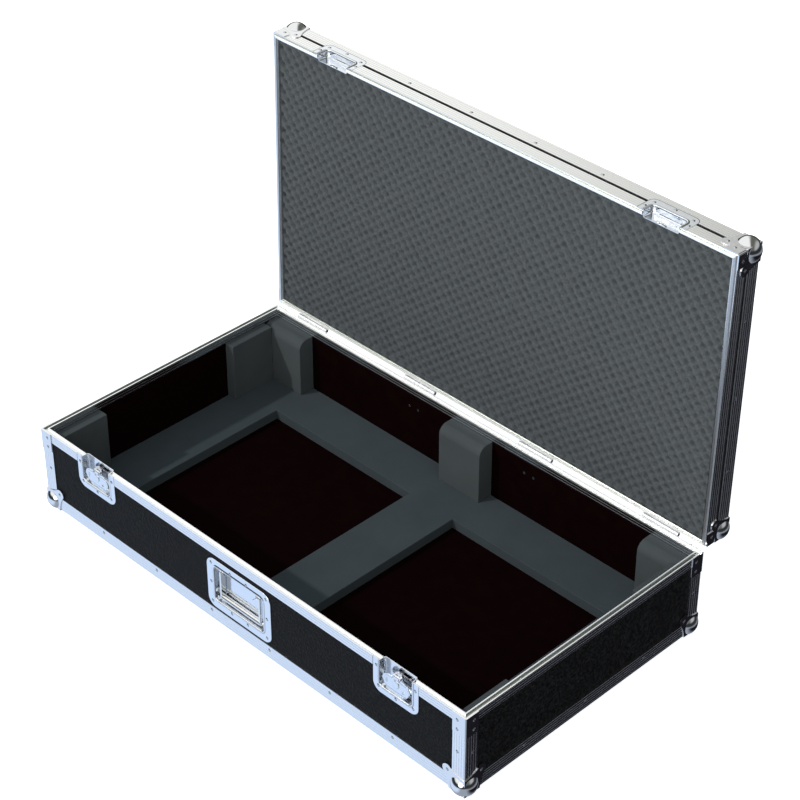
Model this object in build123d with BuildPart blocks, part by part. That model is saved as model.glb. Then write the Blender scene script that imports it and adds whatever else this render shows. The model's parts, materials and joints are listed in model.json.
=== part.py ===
from build123d import *
import os
from math import cos, pi, radians, sin, sqrt

os.makedirs("parts", exist_ok=True)

# A flight case for a keyboard: plywood boards held by aluminium angles, with steel ball corners,
# two recessed twist latches, a recessed spring handle, four hinges and a foam lining.
# Millimetres, +Z up, +X to the right along the front, +Y towards the hinges.
# The origin is the middle of the underside of the floor board, and the lid is modelled open.

# Case and walls
case_length = 1150
case_depth = 622
base_height = 182.5
lid_height = 62
lid_open = 91
board = 9
skin = 1.5
bed = 0.3
parting_gap = 0.4
clearance = 0.2

# Rim extrusions at the parting line
rim_flange = 1
rim_leg = 20
rim_flange_leg = 17.5
rim_web = 1.2
groove_width = 6.5
groove_depth = 3
tongue_width = 5.5
tongue_height = 2.5
lid_rim_leg = 24.5

# Edge angles and ball corners
angle_leg = 30.5
angle_round = 2
ball_radius = 25
ball_inset = 15
foot_flat = 0.3
corner_play = 0.5
leaf_root = 37
leaf_centre = 40.5
leaf_round = 11
leaf_rivet = 40
leaf_waist = (16.5, 40.2)
leaf_joint = 140
brace_width = 30
brace_height = 45
lid_brace_height = 22
brace_round = 4

# Rivets, and the rows of them in the edges and at the corners
rivet_head = 3.5
rivet_dome = 1.2
rivet_shank = 2
rivet_length = 8
rivet_fit = 0.05
rivet_pitch = 160
rivet_line = 21
base_row_inset = 175
lid_row_inset = 335
side_row_inset = 151
post_rivet_rise = 95
brace_line = 19
brace_rivet_drops = (13, 34.5)
lid_brace_line = 18
lid_brace_rivet_rise = 13.5
tail_head = 3
tail_height = 1

# Latches in the base and keepers in the lid
latch_inset = 167
dish_depth = 14
dish_sheet = 1.2
latch_land = 16.5
latch_plate_height = 74
latch_plate_round = 20
latch_rivet_edge = 8.5
latch_rivet_corner = 13.5
latch_rivet_drop = 16
cup_width = 79
cup_round = 14
cup_spare = 0.8
spindle_drop = 18
spindle_radius = 4
spindle_head = 6
hub_radius = 10
hub_thickness = 1.7
running_fit = 0.06
pivot_depth = 4.5
knuckle_radius = 2.6
knuckle_width = 10
ear_width = 3.7
pin_radius = 1.5
wing_reach = 38
wing_sheet = 1.5
wing_inset = 1.2
wing_relief = 1
lobe_radius = 16.5
lobe_spread = 17
lobe_drop = 18
wing_boss_width = 14
wing_boss_length = 17
wing_boss_drop = 15
wing_hole = 2.6
wing_hole_drop = 23.5
hook_thickness = 2
hook_ring = 9.5
hook_width = 16
hook_inner = 24.5
hook_outer = 29
hook_finger = 4
keeper_land = 15.5
keeper_plate_height = 45
keeper_plate_round = 14
keeper_rivet_edge = 6.2
keeper_rivet_corner = 11.7
keeper_rivet_rise = 14
keeper_cup_height = 25
keeper_lip_width = 20
keeper_lip_thickness = 3.5
keeper_lip_gap = 0.3

# Handle
handle_land = 20.5
handle_height = 116
handle_round = 20
handle_centre = 93
handle_rivet_edge = 10.5
handle_rivet_corner = 12
handle_rivet_spread = 22
handle_cup_width = 133
handle_cup_height = 79
handle_cup_rise = 1.5
handle_cup_round = 8
bail_pivot_rise = 31
bail_reach = 59
bail_depth = 7.3
bail_arm = 4.5
bail_arm_width = 10
bail_gap = 11
grip_radius = 6
handle_pin_radius = 2.5
handle_pin_inner = 42
handle_pin_head = 4
spring_radius = 3.8
spring_wire = 0.6
spring_pitch = 1.7
spring_turns = 4
spring_leg = 10

# Hinges
hinge_count = 4
hinge_inset = 104.75
hinge_out = 5.9
hinge_pin_radius = 2.5
hinge_knuckle = 4.4
hinge_width = 88
hinge_tab = 20
hinge_tab_offset = 32
hinge_leaf_height = 58
hinge_lid_leaf_height = 52
hinge_rivet_drop = 48
hinge_lid_rivet_rise = 39
hinge_rivet_spread = 12
hinge_play = 0.3
stop_width = 12
stop_reach = 18
stop_inner = 11.5

# Foam
foam_gap = 0.3
tray_thickness = 22.6
pocket_bridge = 118
pocket_side_margin = 113
pocket_margin = 109.5
block_drop = 18
block_round = 20
back_block_depth = 37.5
side_block_depth = 24
back_left_block = 109.5
back_middle_block = 110
back_middle_shift = 4.5
back_right_block = 104
side_back_block = 145
side_front_block = 124
lid_foam_inset = 4.2

# Planes and lengths that follow from them
half_length = case_length / 2
half_depth = case_depth / 2
bottom = bed - skin
parting = bottom + base_height
base_rim_top = parting - parting_gap / 2
lid_rim_bottom = parting + parting_gap / 2
lid_top_face = parting + lid_height
wall = skin + board
rim_width = wall + rim_flange
board_top = base_rim_top - groove_depth - rim_web
lid_board_bottom = lid_rim_bottom + rim_web
lid_board_top = lid_top_face - wall
rim_centre = rim_width / 2
inner_length = half_length - wall
inner_depth = half_depth - wall
corner_gap = ball_inset + sqrt(ball_radius**2 - (ball_inset - skin) ** 2) + corner_play
latch_centre = half_length - latch_inset
latch_plate_width = cup_width + 2 * latch_land
keeper_plate_width = cup_width + 2 * keeper_land
handle_width = handle_cup_width + 2 * handle_land
handle_z = bottom + handle_centre

SIDES = ("front", "right", "back", "left")
hinge_axis = (0, half_depth + hinge_out, parting)
hinge_back = tuple(-value for value in hinge_axis)
BASE = Location()
LID = Location(hinge_axis) * Location((0, 0, 0), (-lid_open, 0, 0)) * Location(hinge_back)


def save(part, name):
    """Label one finished sub-part and write it."""
    part.label = name
    export_step(part, f"parts/{name}.step")
    return part


def wall_place(side):
    """The frame of a wall: x runs along it, y inward from its outer face and z up."""
    reach = half_length if side % 2 else half_depth
    return Location((0, 0, 0), (0, 0, 90 * side)) * Location((0, -reach, 0))


def half_of(side):
    """Half the outer length of a wall."""
    return half_depth if side % 2 else half_length


def corner_place(corner, z):
    """The frame of an upright corner of the case, with x and y both running inward."""
    across, along = (half_depth, half_length) if corner % 2 else (half_length, half_depth)
    return Location((0, 0, 0), (0, 0, 90 * corner)) * Location((-across, -along, z))


def section(body, side, z):
    """The plane of a wall's cross section: x inward from the outer face and y up from z."""
    return Plane(body * wall_place(side) * Location((0, 0, z)) * Plane.YZ.location)


def view(body, side, x=0, depth=0):
    """The plane of a wall seen from outside, at a depth: x along the wall from x, and y up."""
    return Plane(body * wall_place(side) * Location((x, depth, 0)) * Plane.XZ.location)


def on_wall(body, side, x, z, lift=0):
    """A rivet's place on a wall, with its head outward."""
    return body * wall_place(side) * Location((x, -lift, z)) * Location((0, 0, 0), (90, 0, 0))


def row(half, inset):
    """A row of rivets along a wall, evenly spaced at nearly the rivet pitch."""
    span = 2 * (half - inset)
    spaces = max(1, round(span / rivet_pitch))
    return [span * (index / spaces - 1 / 2) for index in range(spaces + 1)]


def flat_rivets(body, side, x, inward, z, lift=0):
    """A rivet's place on the underside of the base or on the top of the lid."""
    turn = 180 if z < 0 else 0
    level = z - lift if z < 0 else z + lift
    return body * wall_place(side) * Location((x, inward, level), (turn, 0, 0))


def drill(places, radius=rivet_shank + rivet_fit, depth=rivet_length + 2 * skin):
    """Cut a hole for each rivet."""
    with Locations(*places):
        Cylinder(radius, 2 * depth, mode=Mode.SUBTRACT)


# Where the rivets are, wall by wall, in the base and in the lid.
base_row = row(half_length, base_row_inset)
lid_row = row(half_length, lid_row_inset)
side_row = row(half_depth, side_row_inset)
base_wall_rivets = {side: [] for side in range(4)}
base_floor_rivets = {side: [] for side in range(4)}
lid_wall_rivets = {side: [] for side in range(4)}
lid_top_rivets = {side: [] for side in range(4)}
post_rivets = {side: [] for side in range(4)}
brace_rivets = {side: [] for side in range(4)}
lid_brace_rivets = {side: [] for side in range(4)}
base_ball_rivets = []
lid_ball_rivets = []
for side in range(4):
    half = half_of(side)
    for x in side_row if side % 2 else base_row:
        base_wall_rivets[side].append(on_wall(BASE, side, x, bottom + rivet_line))
        base_floor_rivets[side].append(flat_rivets(BASE, side, x, rivet_line, bottom))
    for x in side_row if side % 2 else lid_row:
        lid_wall_rivets[side].append(on_wall(LID, side, x, lid_top_face - rivet_line))
        lid_top_rivets[side].append(flat_rivets(LID, side, x, rivet_line, lid_top_face))
    for end in (-1, 1):
        post_x = end * (half - brace_line)
        post_rivets[side].append(on_wall(BASE, side, post_x, bottom + post_rivet_rise))
        for drop in brace_rivet_drops:
            brace_rivets[side].append(on_wall(BASE, side, post_x, parting - drop, skin))
        rise = parting + lid_brace_rivet_rise
        lid_x = end * (half - lid_brace_line)
        lid_brace_rivets[side].append(on_wall(LID, side, lid_x, rise, skin))
        ball_x = end * (half - leaf_rivet)
        base_ball_rivets.append(on_wall(BASE, side, ball_x, bottom + leaf_rivet, skin))
        lid_ball_rivets.append(on_wall(LID, side, ball_x, lid_top_face - leaf_rivet, skin))
    first = leaf_rivet - half
    base_ball_rivets.append(flat_rivets(BASE, side, first, leaf_rivet, bottom, skin))
    lid_ball_rivets.append(flat_rivets(LID, side, first, leaf_rivet, lid_top_face, skin))


def plate_rivets(body, centre, z, width, height, edge, corner, side):
    """Five rivets round a cup: two beside it, two at its corners and one beyond it.

    Heights are measured from z towards the plate's far edge, down in the base and up in the lid.
    """
    up = -1 if body is BASE else 1
    spots = [(0, height - edge)]
    for end in (-1, 1):
        spots.append((end * (width / 2 - edge), side))
        spots.append((end * (width / 2 - corner), height - corner))
    return [on_wall(body, 0, centre + x, z + up * far) for x, far in spots]


latch_rivets = []
keeper_rivets = []
for centre in (-latch_centre, latch_centre):
    latch_rivets += plate_rivets(
        BASE,
        centre,
        parting,
        latch_plate_width,
        latch_plate_height,
        latch_rivet_edge,
        latch_rivet_corner,
        latch_rivet_drop,
    )
    keeper_rivets += plate_rivets(
        LID,
        centre,
        parting,
        keeper_plate_width,
        keeper_plate_height,
        keeper_rivet_edge,
        keeper_rivet_corner,
        keeper_rivet_rise,
    )

handle_side = handle_width / 2
handle_half = handle_height / 2
handle_spots = [(handle_side - handle_rivet_edge, 0)]
for rise in (-1, 1):
    corner_rise = rise * (handle_half - handle_rivet_corner)
    handle_spots.append((handle_side - handle_rivet_corner, corner_rise))
    handle_spots.append((handle_rivet_spread, rise * (handle_half - handle_rivet_edge)))
handle_rivets = []
for across in (-1, 1):
    for x, rise in handle_spots:
        handle_rivets.append(on_wall(BASE, 0, across * x, handle_z + rise))

hinge_span = 2 * (half_length - hinge_inset)
hinge_centres = [hinge_span * (index / (hinge_count - 1) - 1 / 2) for index in range(hinge_count)]
hinge_base_rivets = []
hinge_lid_rivets = []
for centre in hinge_centres:
    for x in (-hinge_rivet_spread, hinge_rivet_spread):
        hinge_base_rivets.append(on_wall(BASE, 2, centre + x, parting - hinge_rivet_drop))
        hinge_lid_rivets.append(on_wall(LID, 2, centre + x, parting + hinge_lid_rivet_rise))

# Rivets: a low dome on a shank, and a longer one for the hinges with its tail set inside the wall.
dome_radius = (rivet_head**2 + rivet_dome**2) / (2 * rivet_dome)
dome_side = rivet_head / 2
dome_rise = sqrt(dome_radius**2 - dome_side**2) - dome_radius + rivet_dome
with BuildPart() as rivet:
    with BuildSketch(Plane.XZ):
        with BuildLine():
            ThreePointArc((0, rivet_dome), (dome_side, dome_rise), (rivet_head, 0))
            Polyline(
                (rivet_head, 0),
                (rivet_shank, 0),
                (rivet_shank, -rivet_length),
                (0, -rivet_length),
                (0, rivet_dome),
            )
        make_face()
    revolve(axis=Axis.Z)

with BuildPart() as hinge_rivet:
    add(rivet.part)
    with Locations((0, 0, -wall)):
        Cylinder(rivet_shank, wall, align=(Align.CENTER, Align.CENTER, Align.MIN))
        Cylinder(tail_head, tail_height, align=(Align.CENTER, Align.CENTER, Align.MAX))


def place_rivets(pattern, places, name):
    """One node of identical rivets."""
    with BuildPart() as rivets:
        with Locations(*places):
            add(pattern)
    return save(rivets.part, name)


def flatten(groups):
    """All rivets of a set of walls in one list."""
    return [place for places in groups.values() for place in places]


base_rivet_places = flatten(base_wall_rivets) + flatten(base_floor_rivets) + flatten(post_rivets)
base_rivet_places += flatten(brace_rivets) + base_ball_rivets + latch_rivets + handle_rivets
lid_rivet_places = flatten(lid_wall_rivets) + flatten(lid_top_rivets)
lid_rivet_places += flatten(lid_brace_rivets) + lid_ball_rivets + keeper_rivets
place_rivets(rivet.part, base_rivet_places, "base_rivets")
place_rivets(rivet.part, lid_rivet_places, "lid_rivets")
place_rivets(hinge_rivet.part, hinge_base_rivets, "hinge_base_rivets")
place_rivets(hinge_rivet.part, hinge_lid_rivets, "hinge_lid_rivets")

# Cups of the latches, measured from the spindle so that the wing can turn inside them.
spindle_z = parting - spindle_drop
cup_floor = spindle_z - wing_reach - cup_spare
cup_hole_half = cup_width / 2 + dish_sheet + clearance
cup_hole_floor = cup_floor - dish_sheet - clearance
keeper_cup_top = parting + keeper_cup_height
keeper_hole_top = keeper_cup_top + dish_sheet + clearance
pin_end = handle_cup_width / 2 + dish_sheet + skin
handle_hole_half = pin_end + 2 * clearance
handle_cup_z = handle_z + handle_cup_rise
handle_hole_height = handle_cup_height + 2 * (dish_sheet + clearance)


def window(body, x, width, low, high, start, stop):
    """Cut a box through the front wall: width about x, between two heights and two depths."""
    with BuildSketch(view(body, 0, x, start)) as opening:
        with Locations((0, (low + high) / 2)):
            Rectangle(width, high - low)
    extrude(opening.sketch, amount=start - stop, mode=Mode.SUBTRACT)


# Base: floor and four walls of laminated plywood. The underside is stepped where the angles lie.
angle_bed = angle_leg + skin
corner_bed = leaf_centre + leaf_round + skin
with BuildPart() as base_floor:
    Box(
        case_length - 2 * skin,
        case_depth - 2 * skin,
        board,
        align=(Align.CENTER, Align.CENTER, Align.MIN),
    )
    with BuildSketch():
        Rectangle(case_length, case_depth)
        Rectangle(
            case_length - 2 * corner_bed, case_depth - 2 * angle_bed, mode=Mode.SUBTRACT
        )
        Rectangle(
            case_length - 2 * angle_bed, case_depth - 2 * corner_bed, mode=Mode.SUBTRACT
        )
    extrude(amount=bed, mode=Mode.SUBTRACT)
    drill(flatten(base_floor_rivets) + base_ball_rivets)
save(base_floor.part, "base_floor")


def wall_board(body, side, low, high):
    """A plain wall board: the long ones run past the ends of the short ones."""
    half = half_of(side) - (wall if side % 2 else skin)
    with BuildPart() as blank:
        with BuildSketch(section(body, side, 0)):
            with Locations((skin + board / 2, (low + high) / 2)):
                Rectangle(board, high - low)
        extrude(amount=half, both=True)
    return blank.part


for side, name in enumerate(SIDES):
    blank = wall_board(BASE, side, board, board_top)
    with BuildPart() as base_wall:
        add(blank)
        drill(base_wall_rivets[side] + post_rivets[side] + brace_rivets[side] + base_ball_rivets)
        if name == "front":
            for centre in (-latch_centre, latch_centre):
                window(BASE, centre, 2 * cup_hole_half, cup_hole_floor, parting, 0, wall)
            low = handle_cup_z - handle_hole_height / 2
            window(BASE, 0, 2 * handle_hole_half, low, low + handle_hole_height, 0, wall)
            drill(latch_rivets + handle_rivets)
        if name == "back":
            drill(hinge_base_rivets, depth=wall + skin)
    save(base_wall.part, f"base_wall_{name}")


# Rims: a channel over the top of the boards, with a groove in the base and a tongue on the lid.
def base_rim_profile():
    """The channel of the base, from its outer top corner round the groove."""
    near = rim_centre - groove_width / 2
    far = rim_centre + groove_width / 2
    under = -groove_depth - rim_web
    Polygon(
        (0, 0),
        (near, 0),
        (near, -groove_depth),
        (far, -groove_depth),
        (far, 0),
        (rim_width, 0),
        (rim_width, -rim_flange_leg),
        (wall, -rim_flange_leg),
        (wall, under),
        (skin, under),
        (skin, -rim_leg),
        (0, -rim_leg),
        align=None,
    )


def lid_rim_profile():
    """The channel of the lid, with the tongue below it."""
    near = rim_centre - tongue_width / 2
    far = rim_centre + tongue_width / 2
    Polygon(
        (0, 0),
        (near, 0),
        (near, -tongue_height),
        (far, -tongue_height),
        (far, 0),
        (rim_width, 0),
        (rim_width, rim_flange_leg),
        (wall, rim_flange_leg),
        (wall, rim_web),
        (skin, rim_web),
        (skin, lid_rim_leg),
        (0, lid_rim_leg),
        align=None,
    )


def mitre(body, side):
    """Keep what lies between the two mitred ends of a rim."""
    half = half_of(side)
    short = half - 2 * rim_width
    with BuildSketch(Plane(body * wall_place(side))) as plan:
        Polygon(
            (-half, 0), (half, 0), (short, 2 * rim_width), (-short, 2 * rim_width), align=None
        )
    extrude(plan.sketch, amount=2 * lid_top_face, mode=Mode.INTERSECT)


def hinge_notch(body, low, high):
    """Cut away the outer leg of a rim or angle behind the hinge leaves."""
    for centre in hinge_centres:
        with BuildSketch(view(body, 2, centre)) as notch:
            with Locations((0, (low + high) / 2)):
                Rectangle(hinge_width + 2 * clearance, high - low)
        extrude(notch.sketch, amount=-skin, mode=Mode.SUBTRACT)


for side, name in enumerate(SIDES):
    with BuildPart() as base_rim:
        with BuildSketch(section(BASE, side, base_rim_top)):
            base_rim_profile()
        extrude(amount=half_of(side), both=True)
        mitre(BASE, side)
        drill(brace_rivets[side], depth=2 * skin)
        if name == "front":
            for centre in (-latch_centre, latch_centre):
                plate = latch_plate_width + 2 * clearance
                window(BASE, centre, plate, parting - 2 * rim_leg, parting, 0, skin)
                cup = 2 * cup_hole_half
                window(BASE, centre, cup, parting - 2 * rim_leg, parting, 0, 2 * wall)
        if name == "back":
            hinge_notch(BASE, parting - 2 * rim_leg, parting)
    save(base_rim.part, f"base_rim_{name}")


# Angles along the bottom edges and up the corners, cut square where the ball corners cover them.
def angle_section(sketch, upward):
    """An L with its rounded outer corner at the origin of the sketch."""
    Polygon(
        (0, 0),
        (angle_leg, 0),
        (angle_leg, upward * skin),
        (skin, upward * skin),
        (skin, upward * angle_leg),
        (0, upward * angle_leg),
        align=None,
    )
    fillet(sketch.vertices().sort_by_distance((0, 0))[0], angle_round)


for side, name in enumerate(SIDES):
    with BuildPart() as base_edge:
        with BuildSketch(section(BASE, side, bottom)) as profile:
            angle_section(profile, 1)
        extrude(amount=half_of(side) - corner_gap, both=True)
        drill(base_wall_rivets[side] + base_floor_rivets[side])
    save(base_edge.part, f"base_edge_{name}")

with BuildPart() as base_corner_posts:
    for corner in range(4):
        low = bottom + corner_gap
        with BuildSketch(Plane(corner_place(corner, low))) as profile:
            angle_section(profile, 1)
        extrude(amount=base_rim_top - rim_leg - low)
    drill(flatten(post_rivets) + flatten(brace_rivets))
save(base_corner_posts.part, "base_corner_posts")


# Ball corners: a pressed steel cap with a leaf on each of the three faces it holds.
# A leaf runs from the case's edges, where it is widest, to the round end with its rivet.
joint = radians(leaf_joint)
leaf_side = (leaf_centre + leaf_round * cos(joint), leaf_centre + leaf_round * sin(joint))
leaf_tip = leaf_centre + leaf_round * sin(radians(45))
with BuildSketch() as leaf:
    with BuildLine():
        Polyline((-skin, leaf_root), (-skin, -skin), (leaf_root, -skin), (leaf_root, 0))
        ThreePointArc((leaf_root, 0), leaf_waist[::-1], leaf_side[::-1])
        ThreePointArc(leaf_side[::-1], (leaf_tip, leaf_tip), leaf_side)
        ThreePointArc(leaf_side, leaf_waist, (0, leaf_root))
        Line((0, leaf_root), (-skin, leaf_root))
    make_face()

leaf_faces = ((Plane.XY, -skin), (Plane.XZ, skin), (Plane.YZ, -skin))
with BuildPart() as ball_corner:
    with Locations((ball_inset, ball_inset, ball_inset)):
        Sphere(ball_radius)
    Box(
        ball_radius * 2,
        ball_radius * 2,
        ball_radius * 2,
        align=(Align.MIN, Align.MIN, Align.MIN),
        mode=Mode.SUBTRACT,
    )
    for plane, thickness in leaf_faces:
        with BuildSketch(plane):
            add(leaf.sketch)
        extrude(amount=thickness)
    with Locations((ball_inset, ball_inset, ball_inset)):
        Sphere(ball_radius - skin, mode=Mode.SUBTRACT)
    with Locations((ball_inset, ball_inset, ball_inset - ball_radius + foot_flat)):
        Cylinder(
            ball_radius,
            skin,
            align=(Align.CENTER, Align.CENTER, Align.MAX),
            mode=Mode.SUBTRACT,
        )
    for plane, thickness in leaf_faces:
        drill([plane.location * Location((leaf_rivet, leaf_rivet, 0))])

with BuildPart() as base_ball_corners:
    with Locations(*[corner_place(corner, bottom) for corner in range(4)]):
        add(ball_corner.part)
save(base_ball_corners.part, "base_ball_corners")

upside_down = Plane((0, 0, 0), x_dir=(0, 1, 0), z_dir=(0, 0, -1)).location
lid_corners = [LID * corner_place(corner, lid_top_face) * upside_down for corner in range(4)]
with BuildPart() as lid_ball_corners:
    with Locations(*lid_corners):
        add(ball_corner.part)
save(lid_ball_corners.part, "lid_ball_corners")


# Corner braces: steel angles riveted over the rims at the parting line.
with BuildSketch() as leaf_opening:
    add(leaf.sketch)
    offset(amount=clearance)


def brace(height, upward, leaf_height):
    """A brace with its corner at the origin, cut back where a leaf comes down beside it."""
    with BuildPart() as plate:
        for plane, thickness in leaf_faces[1:]:
            with BuildSketch(plane) as outline:
                with Locations(((brace_width - skin) / 2, upward * height / 2)):
                    Rectangle(brace_width + skin, height)
                far = outline.vertices().sort_by(lambda point: point.X + upward * point.Y)
                fillet(far[-1], brace_round)
                with Locations((0, upward * leaf_height)):
                    add(leaf_opening.sketch, rotation=-90 * upward, mode=Mode.SUBTRACT)
            extrude(amount=thickness)
        upright = plate.edges().filter_by(Axis.Z).sort_by(lambda edge: edge.center().X)
        outer = upright.sort_by(lambda edge: edge.center().X + edge.center().Y)[0]
        fillet(outer, angle_round + skin - clearance)
    return plate.part


base_brace = brace(brace_height, -1, base_rim_top - bottom)
with BuildPart() as base_corner_braces:
    with Locations(*[corner_place(corner, base_rim_top) for corner in range(4)]):
        add(base_brace)
    drill(flatten(brace_rivets), depth=2 * skin)
save(base_corner_braces.part, "base_corner_braces")

lid_brace = brace(lid_brace_height, 1, lid_top_face - lid_rim_bottom)
with BuildPart() as lid_corner_braces:
    with Locations(*[LID * corner_place(corner, lid_rim_bottom) for corner in range(4)]):
        add(lid_brace)
    drill(flatten(lid_brace_rivets), depth=2 * skin)
save(lid_corner_braces.part, "lid_corner_braces")


# Latches: a dish in the wall, a spindle through it, a hook on the spindle and a folding wing.
def outline_rectangle(sketch, width, low, high, radius, rounded):
    """A plate between two heights, with its lower, upper or all corners rounded."""
    with Locations((0, (low + high) / 2)):
        Rectangle(width, high - low)
    corners = sketch.vertices().sort_by(Axis.Y)
    chosen = {"lower": corners[:2], "upper": corners[2:], "all": corners}[rounded]
    fillet(chosen, radius)


hub_front = pivot_depth + knuckle_radius + clearance
hook_front = hub_front + hub_thickness + clearance
ears_width = knuckle_width + 2 * (ear_width + clearance)
lobe_z = spindle_z - lobe_drop
for name, centre in (("left", -latch_centre), ("right", latch_centre)):
    with BuildPart() as latch_dish:
        with BuildSketch(view(BASE, 0, centre)) as outline:
            low = parting - latch_plate_height
            outline_rectangle(
                outline, latch_plate_width, low, base_rim_top, latch_plate_round, "lower"
            )
        extrude(amount=-skin)
        with BuildSketch(view(BASE, 0, centre)) as outline:
            width = cup_width + 2 * dish_sheet
            low = cup_floor - dish_sheet
            radius = cup_round + dish_sheet
            outline_rectangle(outline, width, low, base_rim_top, radius, "lower")
        extrude(amount=-dish_depth - dish_sheet)
        with BuildSketch(view(BASE, 0, centre)) as outline:
            outline_rectangle(outline, cup_width, cup_floor, parting, cup_round, "lower")
        extrude(amount=-dish_depth, mode=Mode.SUBTRACT)
        with BuildSketch(view(BASE, 0, centre)):
            with Locations((0, spindle_z)):
                Circle(spindle_radius + running_fit)
        extrude(amount=-2 * dish_depth, mode=Mode.SUBTRACT)
        drill(latch_rivets)
    save(latch_dish.part, f"latch_dish_{name}")

    with BuildPart() as latch_spindle:
        with BuildSketch(view(BASE, 0, centre, hub_front)):
            with Locations((0, spindle_z)):
                Circle(hub_radius)
        extrude(amount=-hub_thickness)
        with BuildSketch(view(BASE, 0, centre, hub_front)):
            with Locations((0, spindle_z)):
                Circle(spindle_radius)
        extrude(amount=hub_front - dish_depth - dish_sheet - clearance - skin)
        with BuildSketch(view(BASE, 0, centre, dish_depth + dish_sheet + clearance)):
            with Locations((0, spindle_z)):
                Circle(spindle_head)
        extrude(amount=-skin)
        for across in (-1, 1):
            inner = knuckle_width / 2 + clearance
            middle = across * (inner + ear_width / 2)
            with BuildSketch(section(BASE, 0, spindle_z).offset(centre + middle)):
                with Locations((pivot_depth, 0)):
                    Circle(knuckle_radius)
                with Locations(((pivot_depth + hub_front + hub_thickness) / 2, 0)):
                    Rectangle(hub_front + hub_thickness - pivot_depth, 2 * knuckle_radius)
                with Locations((pivot_depth, 0)):
                    Circle(pin_radius + running_fit, mode=Mode.SUBTRACT)
            extrude(amount=ear_width / 2, both=True)
    save(latch_spindle.part, f"latch_spindle_{name}")

    with BuildPart() as latch_hook:
        with BuildSketch(view(BASE, 0, centre, hook_front)):
            with Locations((0, spindle_z)):
                Circle(hook_ring)
            with Locations((hook_outer / 2, spindle_z)):
                Rectangle(hook_outer, hook_width)
            with Locations((0, spindle_z)):
                Circle(hook_outer, mode=Mode.INTERSECT)
                Circle(spindle_radius + running_fit, mode=Mode.SUBTRACT)
        extrude(amount=-hook_thickness)
        with BuildSketch(view(BASE, 0, centre, hook_front)):
            with Locations(((hook_inner + hook_outer) / 2, spindle_z)):
                Rectangle(hook_outer, hook_width)
            with Locations((0, spindle_z)):
                Circle(hook_outer, mode=Mode.INTERSECT)
                Circle(hook_inner, mode=Mode.SUBTRACT)
        extrude(amount=-hook_finger)
    save(latch_hook.part, f"latch_hook_{name}")

    with BuildPart() as latch_wing:
        with BuildSketch(view(BASE, 0, centre, wing_inset)):
            with Locations((-lobe_spread, lobe_z), (lobe_spread, lobe_z)):
                Circle(lobe_radius)
            with Locations((0, lobe_z)):
                Rectangle(2 * lobe_spread, 2 * lobe_radius)
            with Locations((0, spindle_z)):
                Circle(wing_reach, mode=Mode.INTERSECT)
                slot_width = ears_width + 2 * wing_relief
                Rectangle(slot_width, 4 * knuckle_radius, mode=Mode.SUBTRACT)
            with Locations((0, spindle_z - knuckle_radius)):
                Rectangle(knuckle_width, 4 * knuckle_radius)
            with Locations((0, spindle_z + 2 * knuckle_radius)):
                Rectangle(wing_reach, 4 * knuckle_radius, mode=Mode.SUBTRACT)
            with Locations((lobe_spread, spindle_z - wing_hole_drop)):
                Circle(wing_hole, mode=Mode.SUBTRACT)
        extrude(amount=-wing_sheet)
        with BuildSketch(view(BASE, 0, centre, wing_inset)):
            with Locations((0, spindle_z - wing_boss_drop)):
                SlotOverall(wing_boss_length, wing_boss_width, rotation=90)
        extrude(amount=wing_inset)
        with BuildSketch(section(BASE, 0, spindle_z).offset(centre)):
            with Locations((pivot_depth, 0)):
                Circle(knuckle_radius)
        extrude(amount=knuckle_width / 2, both=True)
        with BuildSketch(section(BASE, 0, spindle_z).offset(centre)):
            with Locations((pivot_depth, 0)):
                Circle(pin_radius + running_fit)
        extrude(amount=knuckle_width, both=True, mode=Mode.SUBTRACT)
    save(latch_wing.part, f"latch_wing_{name}")

    with BuildPart() as latch_pin:
        with BuildSketch(section(BASE, 0, spindle_z).offset(centre)):
            with Locations((pivot_depth, 0)):
                Circle(pin_radius)
        extrude(amount=ears_width / 2, both=True)
    save(latch_pin.part, f"latch_pin_{name}")

# Handle: a dish in the front wall, with a bail that hangs on two sprung pins.
with BuildPart() as handle_dish:
    with BuildSketch(view(BASE, 0)) as outline:
        low = handle_z - handle_height / 2
        outline_rectangle(
            outline, handle_width, low, low + handle_height, handle_round, "all"
        )
    extrude(amount=-skin)
    low = handle_cup_z - handle_cup_height / 2
    high = handle_cup_z + handle_cup_height / 2
    with BuildSketch(view(BASE, 0)) as outline:
        width = handle_cup_width + 2 * dish_sheet
        radius = handle_cup_round + dish_sheet
        outline_rectangle(outline, width, low - dish_sheet, high + dish_sheet, radius, "all")
    extrude(amount=-dish_depth - dish_sheet)
    with BuildSketch(view(BASE, 0)) as outline:
        outline_rectangle(outline, handle_cup_width, low, high, handle_cup_round, "all")
    extrude(amount=-dish_depth, mode=Mode.SUBTRACT)
    pivot_z = handle_z + bail_pivot_rise
    with BuildSketch(section(BASE, 0, pivot_z)):
        with Locations((bail_depth, 0)):
            Circle(handle_pin_radius + rivet_fit)
    extrude(amount=handle_width / 2, both=True, mode=Mode.SUBTRACT)
    drill(handle_rivets)
save(handle_dish.part, "handle_dish")

grip_z = pivot_z - bail_reach
arm_x = handle_cup_width / 2 - bail_gap - bail_arm / 2
with BuildPart() as handle_bail:
    for across in (-1, 1):
        with BuildSketch(section(BASE, 0, 0).offset(across * arm_x)):
            with Locations((bail_depth, (pivot_z + grip_z) / 2)):
                SlotCenterToCenter(bail_reach, bail_arm_width, rotation=90)
        extrude(amount=bail_arm / 2, both=True)
    with BuildSketch(section(BASE, 0, grip_z)):
        with Locations((bail_depth, 0)):
            Circle(grip_radius)
    extrude(amount=arm_x, both=True)
    with BuildSketch(section(BASE, 0, pivot_z)):
        with Locations((bail_depth, 0)):
            Circle(handle_pin_radius + running_fit)
    extrude(amount=handle_width / 2, both=True, mode=Mode.SUBTRACT)
save(handle_bail.part, "handle_bail")

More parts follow.
